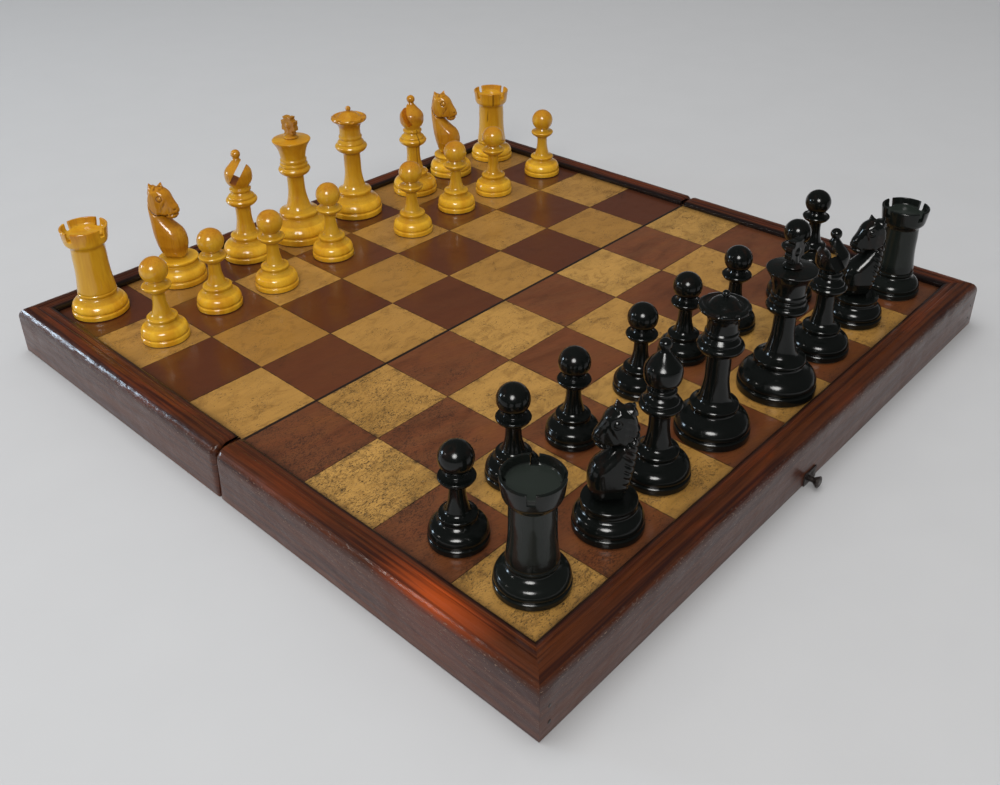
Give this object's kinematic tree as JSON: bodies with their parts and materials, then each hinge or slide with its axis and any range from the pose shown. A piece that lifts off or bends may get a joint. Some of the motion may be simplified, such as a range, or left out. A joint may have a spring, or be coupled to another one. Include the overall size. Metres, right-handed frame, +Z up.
{
  "type": "folding games compendium box",
  "caption": "Folding wooden games box lying open as a chessboard, with moulded rails, backgammon points inside, butt hinges, a hook latch and turned Staunton pattern chessmen.",
  "frame": {"origin": "centre of the bounding box in plan, at its lowest point, which is the underside of the hinge knuckles; the rims are 1.75 mm above it", "axes": "+X along the seam, to the right as black's side sees it; +Y from black's half towards white's half; +Z up, out of the playing surface"},
  "size_m": [0.43, 0.445, 0.1176],
  "materials": {
    "moulding": "french polished",
    "light_veneer": "polished, worn",
    "dark_veneer": "polished",
    "pine_panel": "oiled",
    "brass": "tarnished",
    "iron": "blackened",
    "boxwood": "polished",
    "ebony": "polished"
  },
  "bodies": {
    "near_half": {"near_end_rail": "moulding", "near_left_rail": "moulding", "near_right_rail": "moulding", "near_centre_rail": "moulding", "near_panel": "pine_panel", "near_light_squares": "light_veneer", "near_dark_squares": "dark_veneer", "near_light_points": "light_veneer", "near_dark_points": "dark_veneer", "near_nails": "iron", "near_hinge_leaves": "brass", "near_hinge_screws": "brass", "hinge_pins": "iron", "latch_stud": "iron"},
    "far_half": {"far_end_rail": "moulding", "far_left_rail": "moulding", "far_right_rail": "moulding", "far_centre_rail": "moulding", "far_panel": "pine_panel", "far_light_squares": "light_veneer", "far_dark_squares": "dark_veneer", "far_light_points": "light_veneer", "far_dark_points": "dark_veneer", "far_nails": "iron", "far_hinge_leaves": "brass", "far_hinge_screws": "brass", "hook_knob": "brass"},
    "hook": {"latch_hook": "brass"},
    "white_rook_a_man": {"white_rook_a": "boxwood"},
    "white_knight_b_man": {"white_knight_b": "boxwood"},
    "white_bishop_c_man": {"white_bishop_c": "boxwood"},
    "white_king_man": {"white_king": "boxwood"},
    "white_queen_man": {"white_queen": "boxwood"},
    "white_bishop_f_man": {"white_bishop_f": "boxwood"},
    "white_knight_g_man": {"white_knight_g": "boxwood"},
    "white_rook_h_man": {"white_rook_h": "boxwood"},
    "white_pawn_a_man": {"white_pawn_a": "boxwood"},
    "white_pawn_b_man": {"white_pawn_b": "boxwood"},
    "white_pawn_c_man": {"white_pawn_c": "boxwood"},
    "white_pawn_d_man": {"white_pawn_d": "boxwood"},
    "white_pawn_e_man": {"white_pawn_e": "boxwood"},
    "white_pawn_f_man": {"white_pawn_f": "boxwood"},
    "white_pawn_g_man": {"white_pawn_g": "boxwood"},
    "white_pawn_h_man": {"white_pawn_h": "boxwood"},
    "black_rook_a_man": {"black_rook_a": "ebony"},
    "black_knight_b_man": {"black_knight_b": "ebony"},
    "black_bishop_c_man": {"black_bishop_c": "ebony"},
    "black_queen_man": {"black_queen": "ebony"},
    "black_king_man": {"black_king": "ebony"},
    "black_bishop_f_man": {"black_bishop_f": "ebony"},
    "black_knight_g_man": {"black_knight_g": "ebony"},
    "black_rook_h_man": {"black_rook_h": "ebony"},
    "black_pawn_a_man": {"black_pawn_a": "ebony"},
    "black_pawn_b_man": {"black_pawn_b": "ebony"},
    "black_pawn_c_man": {"black_pawn_c": "ebony"},
    "black_pawn_d_man": {"black_pawn_d": "ebony"},
    "black_pawn_e_man": {"black_pawn_e": "ebony"},
    "black_pawn_f_man": {"black_pawn_f": "ebony"},
    "black_pawn_g_man": {"black_pawn_g": "ebony"},
    "black_pawn_h_man": {"black_pawn_h": "ebony"}
  },
  "joints": [
    {"name": "fold", "type": "hinge", "parent": "near_half", "child": "far_half", "pos_m": [0, 0, 0.0016], "axis": [-1, 0, 0], "range_deg": [0, 180]},
    {"name": "hook_turn", "type": "hinge", "parent": "far_half", "child": "hook", "pos_m": [-0.005, 0.2168, 0.01485], "axis": [0, 1, 0], "range_deg": [0, 90]},
    {"name": "white_rook_a_lift", "type": "slide", "parent": "far_half", "child": "white_rook_a_man", "axis": [0, 0, 1], "range_m": [0, 0.12]},
    {"name": "white_knight_b_lift", "type": "slide", "parent": "far_half", "child": "white_knight_b_man", "axis": [0, 0, 1], "range_m": [0, 0.12]},
    {"name": "white_bishop_c_lift", "type": "slide", "parent": "far_half", "child": "white_bishop_c_man", "axis": [0, 0, 1], "range_m": [0, 0.12]},
    {"name": "white_king_lift", "type": "slide", "parent": "far_half", "child": "white_king_man", "axis": [0, 0, 1], "range_m": [0, 0.12]},
    {"name": "white_queen_lift", "type": "slide", "parent": "far_half", "child": "white_queen_man", "axis": [0, 0, 1], "range_m": [0, 0.12]},
    {"name": "white_bishop_f_lift", "type": "slide", "parent": "far_half", "child": "white_bishop_f_man", "axis": [0, 0, 1], "range_m": [0, 0.12]},
    {"name": "white_knight_g_lift", "type": "slide", "parent": "far_half", "child": "white_knight_g_man", "axis": [0, 0, 1], "range_m": [0, 0.12]},
    {"name": "white_rook_h_lift", "type": "slide", "parent": "far_half", "child": "white_rook_h_man", "axis": [0, 0, 1], "range_m": [0, 0.12]},
    {"name": "white_pawn_a_lift", "type": "slide", "parent": "far_half", "child": "white_pawn_a_man", "axis": [0, 0, 1], "range_m": [0, 0.12]},
    {"name": "white_pawn_b_lift", "type": "slide", "parent": "far_half", "child": "white_pawn_b_man", "axis": [0, 0, 1], "range_m": [0, 0.12]},
    {"name": "white_pawn_c_lift", "type": "slide", "parent": "far_half", "child": "white_pawn_c_man", "axis": [0, 0, 1], "range_m": [0, 0.12]},
    {"name": "white_pawn_d_lift", "type": "slide", "parent": "far_half", "child": "white_pawn_d_man", "axis": [0, 0, 1], "range_m": [0, 0.12]},
    {"name": "white_pawn_e_lift", "type": "slide", "parent": "far_half", "child": "white_pawn_e_man", "axis": [0, 0, 1], "range_m": [0, 0.12]},
    {"name": "white_pawn_f_lift", "type": "slide", "parent": "far_half", "child": "white_pawn_f_man", "axis": [0, 0, 1], "range_m": [0, 0.12]},
    {"name": "white_pawn_g_lift", "type": "slide", "parent": "far_half", "child": "white_pawn_g_man", "axis": [0, 0, 1], "range_m": [0, 0.12]},
    {"name": "white_pawn_h_lift", "type": "slide", "parent": "far_half", "child": "white_pawn_h_man", "axis": [0, 0, 1], "range_m": [0, 0.12]},
    {"name": "black_rook_a_lift", "type": "slide", "parent": "near_half", "child": "black_rook_a_man", "axis": [0, 0, 1], "range_m": [0, 0.12]},
    {"name": "black_knight_b_lift", "type": "slide", "parent": "near_half", "child": "black_knight_b_man", "axis": [0, 0, 1], "range_m": [0, 0.12]},
    {"name": "black_bishop_c_lift", "type": "slide", "parent": "near_half", "child": "black_bishop_c_man", "axis": [0, 0, 1], "range_m": [0, 0.12]},
    {"name": "black_queen_lift", "type": "slide", "parent": "near_half", "child": "black_queen_man", "axis": [0, 0, 1], "range_m": [0, 0.12]},
    {"name": "black_king_lift", "type": "slide", "parent": "near_half", "child": "black_king_man", "axis": [0, 0, 1], "range_m": [0, 0.12]},
    {"name": "black_bishop_f_lift", "type": "slide", "parent": "near_half", "child": "black_bishop_f_man", "axis": [0, 0, 1], "range_m": [0, 0.12]},
    {"name": "black_knight_g_lift", "type": "slide", "parent": "near_half", "child": "black_knight_g_man", "axis": [0, 0, 1], "range_m": [0, 0.12]},
    {"name": "black_rook_h_lift", "type": "slide", "parent": "near_half", "child": "black_rook_h_man", "axis": [0, 0, 1], "range_m": [0, 0.12]},
    {"name": "black_pawn_a_lift", "type": "slide", "parent": "near_half", "child": "black_pawn_a_man", "axis": [0, 0, 1], "range_m": [0, 0.12]},
    {"name": "black_pawn_b_lift", "type": "slide", "parent": "near_half", "child": "black_pawn_b_man", "axis": [0, 0, 1], "range_m": [0, 0.12]},
    {"name": "black_pawn_c_lift", "type": "slide", "parent": "near_half", "child": "black_pawn_c_man", "axis": [0, 0, 1], "range_m": [0, 0.12]},
    {"name": "black_pawn_d_lift", "type": "slide", "parent": "near_half", "child": "black_pawn_d_man", "axis": [0, 0, 1], "range_m": [0, 0.12]},
    {"name": "black_pawn_e_lift", "type": "slide", "parent": "near_half", "child": "black_pawn_e_man", "axis": [0, 0, 1], "range_m": [0, 0.12]},
    {"name": "black_pawn_f_lift", "type": "slide", "parent": "near_half", "child": "black_pawn_f_man", "axis": [0, 0, 1], "range_m": [0, 0.12]},
    {"name": "black_pawn_g_lift", "type": "slide", "parent": "near_half", "child": "black_pawn_g_man", "axis": [0, 0, 1], "range_m": [0, 0.12]},
    {"name": "black_pawn_h_lift", "type": "slide", "parent": "near_half", "child": "black_pawn_h_man", "axis": [0, 0, 1], "range_m": [0, 0.12]}
  ]
}
